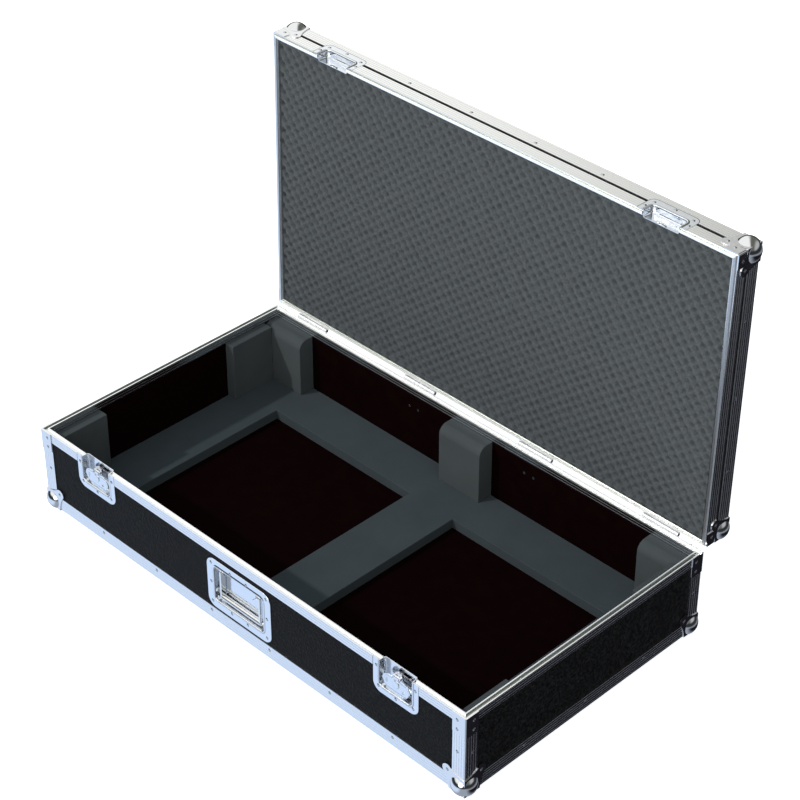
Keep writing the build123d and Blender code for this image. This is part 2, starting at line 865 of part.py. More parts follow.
with BuildPart() as handle_pins:
    for across in (-1, 1):
        seat = handle_cup_width / 2 + dish_sheet
        middle = across * (handle_pin_inner + seat) / 2
        with BuildSketch(section(BASE, 0, pivot_z).offset(middle)):
            with Locations((bail_depth, 0)):
                Circle(handle_pin_radius)
        extrude(amount=(seat - handle_pin_inner) / 2, both=True)
        with BuildSketch(section(BASE, 0, pivot_z).offset(across * seat)):
            with Locations((bail_depth, 0)):
                Circle(handle_pin_head)
        extrude(amount=across * skin)
save(handle_pins.part, "handle_pins")


# Springs: each an unbroken wire wound round its pin, on two arcs for each quarter turn.
def coil_point(turns):
    """A point of the coil's centre line."""
    angle = 2 * pi * turns
    return Vector(spring_radius * cos(angle), spring_radius * sin(angle), spring_pitch * turns)


def coil_way(turns):
    """The direction of the centre line there."""
    angle = 2 * pi * turns
    way = Vector(-sin(angle), cos(angle), spring_pitch / (2 * pi * spring_radius))
    return way.normalized()


def quarter_joint(start, end):
    """Where the two arcs between two points of the coil meet, tangent to each other."""
    chord = coil_point(end) - coil_point(start)
    ways = coil_way(start) + coil_way(end)
    first = ways.dot(ways) - 4
    half_second = -chord.dot(ways)
    reach = (-half_second - sqrt(half_second**2 - first * chord.dot(chord))) / first
    near = coil_point(start) + coil_way(start) * reach
    return (near + coil_point(end) - coil_way(end) * reach) / 2


arcs_per_turn = 4
arc_share = 1 / arcs_per_turn
quarters = [index * arc_share for index in range(arcs_per_turn * spring_turns)]
turn_steps = 24
measured = [coil_point(index / turn_steps) for index in range(turn_steps * spring_turns + 1)]
spring_gap = min(
    (measured[one] - measured[other]).length
    for one in range(len(measured))
    for other in range(one + turn_steps // 2, len(measured))
)
print("least gap between the turns of a handle spring:", round(spring_gap - 2 * spring_wire, 3))

spring_length = spring_pitch * spring_turns
spring_start = arm_x - bail_arm / 2 - 2 * spring_wire - spring_length
with BuildPart() as handle_spring:
    with BuildLine() as path:
        Line(coil_point(0) - coil_way(0) * spring_leg, coil_point(0))
        for start in quarters:
            end = start + arc_share
            meeting = quarter_joint(start, end)
            TangentArc(coil_point(start), meeting, tangent=coil_way(start))
            TangentArc(coil_point(end), meeting, tangent=-coil_way(end))
    with BuildSketch(Plane(path.line @ 0, z_dir=path.line % 0)):
        Circle(spring_wire)
    sweep()

spring_places = []
for across in (-1, 1):
    lay = Location((0, bail_depth, pivot_z), (0, 90 * across, 0))
    spring_places.append(BASE * wall_place(0) * lay * Location((0, 0, spring_start)))
with BuildPart() as handle_springs:
    with Locations(*spring_places):
        add(handle_spring.part)
save(handle_springs.part, "handle_springs")


# Hinges: a leaf in the base and one in the lid, each wrapped round a common pin.
def hinge_leaf(body, upward, height, low, high):
    """One leaf of each hinge: plate, web under the pin and knuckle between two ends."""
    for centre in hinge_centres:
        with BuildSketch(section(body, 2, parting).offset(centre)) as plate:
            near = hinge_knuckle - skin
            with Locations((skin / 2, upward * (near + height) / 2)):
                Rectangle(skin, height - near)
        extrude(plate.sketch, amount=hinge_width / 2, both=True)
        middle = centre + (low + high) / 2
        with BuildSketch(section(body, 2, parting).offset(middle)) as knuckle:
            with Locations(((skin - hinge_out) / 2, upward * (hinge_knuckle - skin / 2))):
                Rectangle(skin + hinge_out, skin)
            with Locations((-hinge_out, 0)):
                Circle(hinge_knuckle)
                Circle(hinge_pin_radius + running_fit, mode=Mode.SUBTRACT)
        extrude(knuckle.sketch, amount=(high - low) / 2, both=True)


# Seen from behind, the lid's knuckle is on the left of each hinge, which is the case's right.
tab_low = -hinge_tab_offset - hinge_tab / 2
tab_high = -hinge_tab_offset + hinge_tab / 2
knuckle_far = hinge_width / 2 - skin
stop_top = hinge_out - stop_reach * sin(radians(lid_open - 90)) - hinge_play
with BuildPart() as hinge_base_leaves:
    hinge_leaf(BASE, -1, hinge_leaf_height, tab_high + hinge_play, knuckle_far)
    for centre in hinge_centres:
        middle = centre + knuckle_far - stop_width / 2
        with BuildSketch(section(BASE, 2, parting).offset(middle)):
            Polygon(
                (0, -2 * stop_inner),
                (0, -stop_inner),
                (-stop_inner, -stop_inner),
                (-stop_inner, stop_top),
                (-stop_reach, stop_top),
                (-stop_reach, -stop_inner - skin),
                align=None,
            )
        extrude(amount=stop_width / 2, both=True)
    drill(hinge_base_rivets)
save(hinge_base_leaves.part, "hinge_base_leaves")

with BuildPart() as hinge_lid_leaves:
    hinge_leaf(LID, 1, hinge_lid_leaf_height, tab_low, tab_high)
    drill(hinge_lid_rivets)
save(hinge_lid_leaves.part, "hinge_lid_leaves")

with BuildPart() as hinge_pins:
    for centre in hinge_centres:
        with BuildSketch(section(BASE, 2, parting).offset(centre)):
            with Locations((-hinge_out, 0)):
                Circle(hinge_pin_radius)
        extrude(amount=knuckle_far, both=True)
save(hinge_pins.part, "hinge_pins")

# Lid: top and four walls, with the same rims and angles as the base.
with BuildPart() as lid_top:
    with BuildSketch(Plane(LID * Location((0, 0, lid_board_top)))):
        Rectangle(case_length - 2 * skin, case_depth - 2 * skin)
    extrude(amount=board)
    drill(flatten(lid_top_rivets) + lid_ball_rivets)
save(lid_top.part, "lid_top")

for side, name in enumerate(SIDES):
    blank = wall_board(LID, side, lid_board_bottom, lid_board_top)
    with BuildPart() as lid_wall:
        add(blank)
        drill(lid_wall_rivets[side] + lid_brace_rivets[side] + lid_ball_rivets)
        if name == "front":
            for centre in (-latch_centre, latch_centre):
                window(LID, centre, 2 * cup_hole_half, parting, keeper_hole_top, 0, wall)
            drill(keeper_rivets)
        if name == "back":
            drill(hinge_lid_rivets, depth=wall + skin)
    save(lid_wall.part, f"lid_wall_{name}")

keeper_hole = keeper_plate_width + 2 * clearance
keeper_plate_top = parting + keeper_plate_height
for side, name in enumerate(SIDES):
    with BuildPart() as lid_rim:
        with BuildSketch(section(LID, side, lid_rim_bottom)):
            lid_rim_profile()
        extrude(amount=half_of(side), both=True)
        mitre(LID, side)
        drill(lid_brace_rivets[side] + lid_ball_rivets, depth=2 * skin)
        if name == "front":
            low = parting - 2 * tongue_height
            high = parting + 2 * lid_rim_leg
            for centre in (-latch_centre, latch_centre):
                window(LID, centre, keeper_hole, low, high, 0, skin)
                window(LID, centre, 2 * cup_hole_half, low, high, 0, 2 * wall)
        if name == "back":
            hinge_notch(LID, parting, parting + 2 * lid_rim_leg)
    save(lid_rim.part, f"lid_rim_{name}")

for side, name in enumerate(SIDES):
    with BuildPart() as lid_edge:
        with BuildSketch(section(LID, side, lid_top_face)) as profile:
            angle_section(profile, -1)
        extrude(amount=half_of(side) - corner_gap, both=True)
        drill(lid_wall_rivets[side] + lid_top_rivets[side])
        if name == "front":
            high = keeper_plate_top + clearance
            radius = keeper_plate_round + clearance
            for centre in (-latch_centre, latch_centre):
                with BuildSketch(view(LID, 0, centre)) as outline:
                    outline_rectangle(outline, keeper_hole, parting, high, radius, "upper")
                extrude(amount=-skin, mode=Mode.SUBTRACT)
        if name == "back":
            hinge_notch(LID, parting, parting + hinge_lid_leaf_height + clearance)
    save(lid_edge.part, f"lid_edge_{name}")

# Keepers: the lid's half of each latch dish, with a lip that the hook swings over.
lip_outer = hook_inner - keeper_lip_gap
lip_front = hook_front + hook_thickness + keeper_lip_gap
for name, centre in (("left", -latch_centre), ("right", latch_centre)):
    with BuildPart() as keeper:
        with BuildSketch(view(LID, 0, centre)) as outline:
            outline_rectangle(
                outline,
                keeper_plate_width,
                lid_rim_bottom,
                keeper_plate_top,
                keeper_plate_round,
                "upper",
            )
        extrude(amount=-skin)
        with BuildSketch(view(LID, 0, centre)) as outline:
            width = cup_width + 2 * dish_sheet
            high = keeper_cup_top + dish_sheet
            radius = cup_round + dish_sheet
            outline_rectangle(outline, width, lid_rim_bottom, high, radius, "upper")
        extrude(amount=-dish_depth - dish_sheet)
        with BuildSketch(view(LID, 0, centre)) as outline:
            outline_rectangle(outline, cup_width, parting, keeper_cup_top, cup_round, "upper")
        extrude(amount=-dish_depth, mode=Mode.SUBTRACT)
        with BuildSketch(view(LID, 0, centre, lip_front)):
            with Locations((0, spindle_z + lip_outer / 2)):
                Rectangle(keeper_lip_width, lip_outer)
            with Locations((0, spindle_z)):
                Circle(lip_outer, mode=Mode.INTERSECT)
                Circle(lip_outer - keeper_lip_thickness, mode=Mode.SUBTRACT)
        extrude(amount=lip_front - dish_depth)
        drill(keeper_rivets)
    save(keeper.part, f"keeper_dish_{name}")


# Foam: a tray with two pockets on the floor, standing blocks against the walls and the lid's pad.
tray_top = board + tray_thickness
pocket_near = pocket_bridge / 2
pocket_far = inner_length - pocket_side_margin
with BuildPart() as foam_tray:
    with BuildSketch(Plane.XY.offset(board)):
        Rectangle(2 * (inner_length - foam_gap), 2 * (inner_depth - foam_gap))
        for across in (-1, 1):
            with Locations((across * (pocket_near + pocket_far) / 2, 0)):
                pocket_depth = 2 * (inner_depth - pocket_margin)
                Rectangle(pocket_far - pocket_near, pocket_depth, mode=Mode.SUBTRACT)
    extrude(amount=tray_thickness)
save(foam_tray.part, "foam_tray")


def foam_block(x_range, y_range, inward):
    """A block that stands on the tray, with its upper edge rounded on the side facing inward."""
    block_height = parting - block_drop - tray_top
    with BuildPart() as block:
        with Locations((x_range[0], y_range[0], tray_top)):
            Box(
                x_range[1] - x_range[0],
                y_range[1] - y_range[0],
                block_height,
                align=(Align.MIN, Align.MIN, Align.MIN),
            )
        top_edges = block.faces().sort_by(Axis.Z)[-1].edges()
        edge = top_edges.sort_by(lambda item: item.center().dot(Vector(*inward)))[-1]
        fillet(edge, block_round)
    return block.part


x_wall = inner_length - foam_gap
y_wall = inner_depth - foam_gap
back_front = inner_depth - back_block_depth
side_front = inner_length - side_block_depth
middle_low = back_middle_shift - back_middle_block / 2
middle_high = back_middle_shift + back_middle_block / 2
back_spans = (
    (-x_wall, back_left_block - inner_length),
    (middle_low, middle_high),
    (inner_length - back_right_block, x_wall),
)
back_blocks = [foam_block(span, (back_front, y_wall), (0, -1, 0)) for span in back_spans]
with BuildPart() as foam_blocks_back:
    add(back_blocks)
    drill(hinge_base_rivets, radius=tail_head + foam_gap, depth=wall + 2 * tail_height)
save(foam_blocks_back.part, "foam_blocks_back")

side_low = inner_depth - side_back_block
side_high = side_front_block - inner_depth
side_spans = ((side_low, back_front - foam_gap), (-y_wall, side_high))
left_blocks = [foam_block((-x_wall, -side_front), span, (1, 0, 0)) for span in side_spans]
with BuildPart() as foam_blocks_left:
    add(left_blocks)
save(foam_blocks_left.part, "foam_blocks_left")

right_blocks = [foam_block((side_front, x_wall), span, (-1, 0, 0)) for span in side_spans]
with BuildPart() as foam_blocks_right:
    add(right_blocks)
save(foam_blocks_right.part, "foam_blocks_right")

rim_clear = rim_width + foam_gap
keeper_clear = dish_depth + dish_sheet + foam_gap
foam_low = parting + lid_foam_inset
with BuildPart() as lid_foam:
    with BuildSketch(Plane(LID * Location((0, 0, foam_low)))):
        with Locations((0, (keeper_clear - rim_clear) / 2)):
            Rectangle(case_length - 2 * rim_clear, case_depth - rim_clear - keeper_clear)
    extrude(amount=lid_board_top - foam_low)
    drill(hinge_lid_rivets, radius=tail_head + foam_gap, depth=wall + 2 * tail_height)
save(lid_foam.part, "lid_foam")
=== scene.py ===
import json
from math import cos, pi, radians, sin

import bmesh
import bpy
from mathutils import Matrix, Vector

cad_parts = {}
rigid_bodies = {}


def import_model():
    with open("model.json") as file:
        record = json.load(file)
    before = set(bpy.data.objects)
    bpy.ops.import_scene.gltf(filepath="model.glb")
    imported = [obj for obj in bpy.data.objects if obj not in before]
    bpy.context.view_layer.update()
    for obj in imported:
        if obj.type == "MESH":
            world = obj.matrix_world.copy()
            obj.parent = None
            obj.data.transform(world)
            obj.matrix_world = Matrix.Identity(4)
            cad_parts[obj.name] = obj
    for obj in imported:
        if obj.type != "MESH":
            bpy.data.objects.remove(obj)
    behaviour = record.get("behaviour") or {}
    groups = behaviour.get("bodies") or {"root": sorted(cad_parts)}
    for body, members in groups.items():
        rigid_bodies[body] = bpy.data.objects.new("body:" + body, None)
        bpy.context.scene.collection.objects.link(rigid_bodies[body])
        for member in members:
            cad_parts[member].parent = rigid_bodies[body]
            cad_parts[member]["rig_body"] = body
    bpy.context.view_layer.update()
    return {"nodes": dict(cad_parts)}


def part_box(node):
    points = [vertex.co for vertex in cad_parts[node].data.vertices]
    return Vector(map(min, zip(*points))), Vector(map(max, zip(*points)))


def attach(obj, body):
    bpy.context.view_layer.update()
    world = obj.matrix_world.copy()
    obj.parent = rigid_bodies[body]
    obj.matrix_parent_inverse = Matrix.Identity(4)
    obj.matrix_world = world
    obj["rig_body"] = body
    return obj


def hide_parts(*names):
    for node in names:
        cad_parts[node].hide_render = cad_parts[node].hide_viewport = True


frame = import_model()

nodes = frame["nodes"]
scene = bpy.context.scene
bpy.ops.object.select_all(action="DESELECT")


# The camera stands high beyond the front right corner of the case, four and a half metres off.
# It looks down over the handle into the open case, and isn't rolled to either side.
lens_data = bpy.data.cameras.new("camera")
lens_data.sensor_width = 36
lens_data.lens = 103.98
camera = bpy.data.objects.new("camera", lens_data)
camera.location = (2.4937, -2.3698, 2.8588)
camera.rotation_euler = (radians(90 - 35.727), 0, radians(45.221))
scene.collection.objects.link(camera)
scene.camera = camera
scene.view_settings.view_transform = "Standard"


# The studio: a white floor, a small lamp high at the front left, a broad one low in front, and
# a tent all round. Polished metal mirrors the tent, which is pale at the left and above and
# dark at the right. Matt surfaces get a soft light that is stronger in front than behind.
def node(tree, kind, inputs=(), outlet=0, **settings):
    """Adds a node, sets or links its inputs by name or by number, and gives one outlet."""
    made = tree.nodes.new("ShaderNode" + kind)
    for key, value in settings.items():
        setattr(made, key, value)
    for key, value in inputs.items() if isinstance(inputs, dict) else enumerate(inputs):
        if isinstance(value, bpy.types.NodeSocket):
            tree.links.new(value, made.inputs[key])
        elif value is not None:
            made.inputs[key].default_value = value
    return made.outputs[outlet]


def maths(tree, operation, *values):
    """One step of arithmetic on outlets and numbers."""
    return node(tree, "Math", values, operation=operation)


def blend(tree, share, first, second):
    """Mixes two colours by a share, each a plain colour or an outlet."""
    colors = []
    for value in (first, second):
        colors.append(value if isinstance(value, bpy.types.NodeSocket) else (*value, 1))
    return node(tree, "Mix", {0: share, 6: colors[0], 7: colors[1]}, 2, data_type="RGBA")


def ramp(tree, value, low, high):
    """A smooth step from 0 at low to 1 at high."""
    steps = {0: value, 1: low, 2: high}
    return node(tree, "MapRange", steps, interpolation_type="SMOOTHSTEP")


studio = bpy.data.worlds.new("studio")
scene.world = studio
studio.use_nodes = True
studio.cycles.sampling_method = "NONE"
tree = studio.node_tree
tree.nodes.clear()
direction = node(tree, "TexCoord", outlet="Generated")
x, y, z = node(tree, "SeparateXYZ", [direction]).node.outputs
to_right = maths(tree, "ADD", x, y)
to_lens = maths(tree, "SUBTRACT", x, y)
low_right = blend(tree, ramp(tree, z, -0.52, -0.43), (0.011, 0.0105, 0.014), (0.26, 0.27, 0.30))
low_middle = blend(tree, ramp(tree, to_right, 0.2, 0.9), (0.36, 0.40, 0.46), low_right)
low_side = blend(tree, ramp(tree, to_right, -1.0, -0.5), (0.72, 0.86, 1.08), low_middle)
high_right = blend(tree, ramp(tree, to_right, 0.8, 1.2), (0.14, 0.145, 0.12), (0.5, 0.5, 0.5))
high_side = blend(tree, ramp(tree, to_right, 0.0, 0.45), (1.06, 1.055, 1.02), high_right)
lower = blend(tree, ramp(tree, z, -0.36, -0.16), low_side, (0.030, 0.034, 0.036))
tent = blend(tree, ramp(tree, z, 0.12, 0.34), lower, high_side)
behind = blend(tree, ramp(tree, to_lens, -1.3, -0.5), (0.95, 0.97, 1.0), (0.38, 0.46, 0.50))
around = blend(tree, ramp(tree, to_lens, -0.4, 1.2), behind, (1.15, 1.16, 1.14))
mirrored, soft, backdrop = [
    node(tree, "Background", {"Color": color}) for color in (tent, around, (1, 1, 1, 1))
]
rays = node(tree, "LightPath").node.outputs
lit = node(tree, "MixShader", [rays["Is Glossy Ray"], soft, mirrored])
seen = node(tree, "MixShader", [rays["Is Camera Ray"], lit, backdrop])
world_output = tree.nodes.new("ShaderNodeOutputWorld")
tree.links.new(seen, world_output.inputs["Surface"])

for name, energy, width, toward in (
    ("key_lamp", 1.7, 2, (-0.581, -1.056, 1)),
    ("fill_lamp", 0.55, 35, (0.25, -1, 0.22)),
):
    lamp_data = bpy.data.lights.new(name, "SUN")
    lamp_data.energy = energy
    lamp_data.angle = radians(width)
    lamp_data.color = (1.0, 0.985, 0.96)
    lamp = bpy.data.objects.new(name, lamp_data)
    lamp.rotation_euler = Vector(toward).to_track_quat("Z", "Y").to_euler()
    scene.collection.objects.link(lamp)


def finish(name, color, metallic, roughness, specular=0.5):
    """A new material with its plain values on the shader."""
    material = bpy.data.materials.new(name)
    material.use_nodes = True
    shader = material.node_tree.nodes["Principled BSDF"]
    shader.inputs["Base Color"].default_value = (*color, 1)
    shader.inputs["Metallic"].default_value = metallic
    shader.inputs["Roughness"].default_value = roughness
    shader.inputs["Specular IOR Level"].default_value = specular
    return material, material.node_tree, shader


FLOOR_LEVEL = -0.0109
bpy.ops.mesh.primitive_plane_add(size=14, location=(0, 0, FLOOR_LEVEL))
bpy.ops.object.transform_apply(location=True)
floor = bpy.context.object
floor.name = "studio_floor"
floor_paint, _, shader = finish("pale_floor", (0.93, 0.93, 0.93), 0, 0.9)
shader.inputs["Emission Color"].default_value = (1, 1, 1, 1)
shader.inputs["Emission Strength"].default_value = 0.6
floor.data.materials.append(floor_paint)
floor.visible_glossy = False


# Boards: 9 mm plywood with a film pressed on both faces. The outer film is black and pebbled,
# and the inner one is a plain brown-black. The boards are sawn to size and held by the profiles.
HALF_LENGTH, HALF_DEPTH = 0.575, 0.311
FRONT = -HALF_DEPTH
PARTING = 0.1813
HINGE = Vector((0, 0.3169, PARTING))
LID_ANGLE = radians(91)
AHEAD = 0.05


def place(tree, lid=False):
    """Object coordinates. On the lid they are turned back to where it is shut."""
    spot = node(tree, "TexCoord", outlet="Object")
    if not lid:
        return spot
    moved = node(tree, "Mapping", [spot, -HINGE])
    turned = node(tree, "Mapping", [moved, (0, 0, 0), (LID_ANGLE, 0, 0)])
    return node(tree, "Mapping", [turned, HINGE])


def noise(tree, spot, scale, detail, outlet=0):
    """Even noise at a point."""
    return node(tree, "TexNoise", {"Vector": spot, "Scale": scale, "Detail": detail}, outlet)


def vary(tree, shader, color=None, roughness=None, relief=None, strength=0, distance=0):
    """Links to a shader what varies over the surface, and its fine relief."""
    if color is not None:
        tree.links.new(color, shader.inputs["Base Color"])
    if roughness is not None:
        tree.links.new(roughness, shader.inputs["Roughness"])
    if relief is not None:
        slopes = {"Strength": strength, "Distance": distance, "Height": relief}
        tree.links.new(node(tree, "Bump", slopes), shader.inputs["Normal"])


def dress(names, material):
    """Puts one material on CAD nodes, in place of what they came with."""
    for name in names:
        mesh = nodes[name].data
        mesh.materials.clear()
        mesh.materials.append(material)


def outer_film(name, lid):
    """Black film with the pebbled face that it is pressed with, and painted shade in its hollows.
    """
    film, tree, shader = finish(name, (0.0050, 0.0052, 0.0056), 0, 0.4, 0.036)
    spot = place(tree, lid)
    pebble = node(tree, "TexVoronoi", {"Vector": spot, "Scale": 260.0}, feature="SMOOTH_F1")
    grain = noise(tree, spot, 170.0, 5.0)
    height = maths(tree, "ADD", pebble, grain)
    # Painted shade: the tone follows the pebbles' relief, darker in the hollows and paler on the
    # tops.
    share = node(tree, "MapRange", [height, 0.75, 1.25])
    tone = blend(tree, share, (0.0022, 0.0023, 0.0025), (0.0085, 0.0088, 0.0094))
    rough = node(tree, "MapRange", [grain, 0.35, 0.65, 0.34, 0.52])
    vary(tree, shader, tone, rough, height, 0.8, 0.0008)
    return film


def inner_film(name, lid):
    """The plain film inside: a matt brown-black with a faint grain."""
    film, tree, shader = finish(name, (0.0042, 0.0012, 0.0012), 0, 0.6, 0.004)
    grain = noise(tree, place(tree, lid), 38.0, 5.0)
    share = node(tree, "MapRange", [grain, 0.35, 0.65])
    tone = blend(tree, share, (0.0037, 0.0010, 0.0011), (0.0047, 0.0014, 0.0015))
    rough = node(tree, "MapRange", [grain, 0.3, 0.7, 0.5, 0.7])
    vary(tree, shader, tone, rough)
    return film


def line_inside(names, middle, film):
    """Gives the faces of boards that look at the middle of their box the inner film."""
    for name in names:
        mesh = nodes[name].data
        mesh.materials.append(film)
        for face in mesh.polygons:
            face.material_index = int(face.normal.dot(middle - face.center) > AHEAD)


for part, roof, lid, middle in (
    ("base", "base_floor", False, Vector((0, 0, 0.1))),
    ("lid", "lid_top", True, Vector((0, 0.34, 0.49))),
):
    boards = [f"{part}_wall_{side}" for side in ("front", "right", "back", "left")] + [roof]
    dress(boards, outer_film(f"pebbled_film_{part}", lid))
    line_inside(boards, middle, inner_film(f"inner_film_{part}", lid))


# Rims and edge angles: drawn aluminium, left bright, with fine grooves along each leg. The
# rims are mitred and pushed over the edges of the boards where the case parts, and the angles
# are riveted on along its other edges.
GROOVE_PITCH = 0.0058
GROOVE_BED, GROOVE_BRINK = 0.06, 0.17
PROFILE_EASE, RIM_EASE, POST_EASE = 0.0008, 0.00045, 0.0005
MOUTH_STEP, TONGUE = 0.0015, 0.0022
MOUTH_FLOOR = 0.1785
SQUARE_ON = 0.9
MOUTH_FACE, PAINTED_SHADE_FACE = 1, 2
WELD = 0.000005
FLAT_TURN, EASED_TURN, SMOOTH_TURN = 0.4, 40, 38


def streaks(tree, spot, along):
    """Fine lines that run along one axis of the case."""
    stretch = [450.0, 450.0, 450.0]
    stretch[along] = 2.0
    return noise(tree, node(tree, "Mapping", {"Vector": spot, "Scale": stretch}), 1.0, 2.0)


def drawn_metal(name, along, lid=False):
    """Bright drawn metal. Satin-floored grooves, darkened as painted shade, run along one axis of
    the case.
    """
    bright = (0.93, 0.94, 0.93) if lid else (0.86, 0.87, 0.90)
    metal, tree, shader = finish(name, bright, 1, 0.2)
    spot = place(tree, lid)
    reaches = node(tree, "SeparateXYZ", [spot]).node.outputs
    between = None
    for axis, edge in enumerate((HALF_LENGTH, HALF_DEPTH, PARTING)):
        if axis != along:
            reach = maths(tree, "ABSOLUTE", reaches[axis])
            inward = maths(tree, "ABSOLUTE", maths(tree, "SUBTRACT", edge, reach))
            turns = maths(tree, "FRACT", maths(tree, "DIVIDE", inward, GROOVE_PITCH))
            gap = maths(tree, "ABSOLUTE", maths(tree, "SUBTRACT", turns, 0.5))
            land = ramp(tree, gap, GROOVE_BED, GROOVE_BRINK)
            between = land if between is None else maths(tree, "MINIMUM", between, land)
    streak = streaks(tree, spot, along)
    height = maths(tree, "ADD", between, maths(tree, "MULTIPLY", streak, 0.06))
    polish = node(tree, "MapRange", [streak, 0.3, 0.7, 0.13, 0.24])
    satin = 0.3 if lid and along == 0 else 0.55
    rough = node(tree, "MapRange", [between, 0, 1, satin, polish])
    # Painted shade: the groove beds are coloured darker than the lands between them.
    tone = blend(tree, between, (0.66, 0.69, 0.74), bright)
    vary(tree, shader, tone, rough, height, 0.16, 0.0003)
    return metal


def mouth_metal(name, along, lid):
    """The same metal where the case parts: rubbed to a satin, with fine lines along it."""
    metal, tree, shader = finish(name, (0.95, 0.96, 0.95), 0.3, 0.3)
    dark, light = (0.80, 0.82, 0.82), (0.98, 0.98, 0.96)
    if lid:
        dark, light = (0.70, 0.72, 0.72), (0.86, 0.87, 0.86)
    streak = streaks(tree, place(tree, lid), along)
    share = node(tree, "MapRange", [streak, 0.35, 0.65])
    vary(tree, shader, blend(tree, share, dark, light))
    return metal


def level(piece):
    """Keeps the flats of a piece flat to the eye, right up to its eased edges."""
    bpy.context.view_layer.objects.active = piece
    flats = piece.modifiers.new("flats", "WEIGHTED_NORMAL")
    flats.keep_sharp = True
    flats.weight = 80
    bpy.ops.object.modifier_apply(modifier=flats.name)


def select_only(piece):
    """Makes a piece the one that the next steps work on."""
    bpy.ops.object.select_all(action="DESELECT")
    bpy.context.view_layer.objects.active = piece
    piece.select_set(True)


def round_edges(piece, width, segments, angle):
    """Rounds the edges of a piece that turn by more than an angle."""
    edge = piece.modifiers.new("rounded", "BEVEL")
    edge.width = width
    edge.segments = segments
    edge.limit_method = "ANGLE"
    edge.angle_limit = radians(angle)
    bpy.ops.object.modifier_apply(modifier=edge.name)


def fit(piece, material, body, replaced=None):
    """Gives a piece its material, hangs it on the body it rides on, and hides the node it stands
    for.
    """
    piece.data.materials.clear()
    piece.data.materials.append(material)
    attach(piece, body)
    if replaced:
        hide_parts(replaced)


def eased_copy(name, ease, material, segments=2):
    """A copy of a CAD node's mesh with its sharp edges eased, which stands for the node."""
    piece = bpy.data.objects.new(f"{name}_eased", nodes[name].data.copy())
    scene.collection.objects.link(piece)
    select_only(piece)
    bpy.ops.mesh.customdata_custom_splitnormals_clear()
    bpy.ops.object.mode_set(mode="EDIT")
    bpy.ops.mesh.select_all(action="SELECT")
    bpy.ops.mesh.remove_doubles(threshold=WELD)
    bpy.ops.mesh.dissolve_limited(angle_limit=radians(FLAT_TURN))
    bpy.ops.object.mode_set(mode="OBJECT")
    round_edges(piece, ease, segments, EASED_TURN)
    bpy.ops.object.shade_smooth_by_angle(angle=radians(SMOOTH_TURN))
    level(piece)
    fit(piece, material, nodes[name]["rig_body"], name)
    return piece


def rub_mouth(rim, opening, lid, along):
    """Gives each face of a rim where the case parts its metal by how deep it lies, with painted
    light and shade.
    """
    foremost = max(corner.co.dot(opening) for corner in rim.data.vertices)
    # Painted light: on the base's front and back rims the groove faces take the pale mouth metal
    # too.
    painted_light_groove = not lid and along == 0
    for face in rim.data.polygons:
        facing = face.normal.dot(opening) > SQUARE_ON
        reach = face.center.dot(opening)
        if facing and (painted_light_groove or reach >= foremost - MOUTH_STEP):
            face.material_index = MOUTH_FACE
        # Painted shade: the sunk faces of the base's side rims get the dark metal.
        elif facing and not lid:
            face.material_index = PAINTED_SHADE_FACE
        elif painted_light_groove and face.center.z > MOUTH_FLOOR:
            face.material_index = MOUTH_FACE
        # Painted shade: the sides of the lid's tongue get the dark metal.
        elif not facing and lid and reach > foremost - TONGUE:
            face.material_index = PAINTED_SHADE_FACE


# Painted shade: a dark copy of the rim metal for groove floors and tongue sides where shade falls.
painted_shade_metal = finish("painted_shade_groove_metal", (0.36, 0.37, 0.33), 1, 0.35)[0]
for part, lid, opening in (("base", False, Vector((0, 0, 1))), ("lid", True, Vector((0, -1, 0)))):
    for along, pair in enumerate((("front", "back"), ("right", "left"))):
        metal = drawn_metal(f"drawn_metal_{part}_{pair[0]}", along, lid)
        mouth = mouth_metal(f"mouth_metal_{part}_{pair[0]}", along, lid)
        for side in pair:
            eased_copy(f"{part}_edge_{side}", PROFILE_EASE, metal)
            rim = eased_copy(f"{part}_rim_{side}", RIM_EASE, metal)
            rim.data.materials.append(mouth)
            rim.data.materials.append(painted_shade_metal)
            rub_mouth(rim, opening, lid, along)


# Posts: upright angles of the same metal at the corners of the base, with grooves that run up
# and down. They lie on the boards, under the ball corners and braces that hold their ends.
posts_metal = drawn_metal("drawn_metal_posts", 2)
eased_copy("base_corner_posts", POST_EASE, posts_metal)


# Ball corners and braces: pressed steel, chromed and polished. A ball corner closes each outer
# corner with three leaves, a brace ties the ends of two rims, and both are riveted over the
# profiles.
def worn_metal(name, color, roughness, scale, polish, metallic=1, low=0.3, detail=3.0, dents=()):
    """Metal with an uneven polish, and with shallow dents if it is pressed."""
    metal, tree, shader = finish(name, color, metallic, roughness)
    wear = noise(tree, place(tree), scale, detail)
    uneven = node(tree, "MapRange", [wear, low, 1 - low, *polish])
    vary(tree, shader, None, uneven, wear if dents else None, *dents)
    return metal


chrome = worn_metal(
    "chrome", (0.80, 0.81, 0.84), 0.07, 55.0, (0.05, 0.12), detail=2.0, dents=(0.25, 0.0012)
)
dress(["base_ball_corners", "lid_ball_corners", "base_corner_braces", "lid_corner_braces"], chrome)


# Rivets: drawn aluminium with low domed heads, set cold through the hardware, the profiles and
# the boards. The tails of the hinges' rivets show as small flat heads inside the back wall.
rivet_metal = worn_metal(
    "rivet_metal", (0.60, 0.62, 0.65), 0.14, 420.0, (0.1, 0.26), low=0.35
)
dress(["base_rivets", "lid_rivets", "hinge_base_rivets", "hinge_lid_rivets"], rivet_metal)


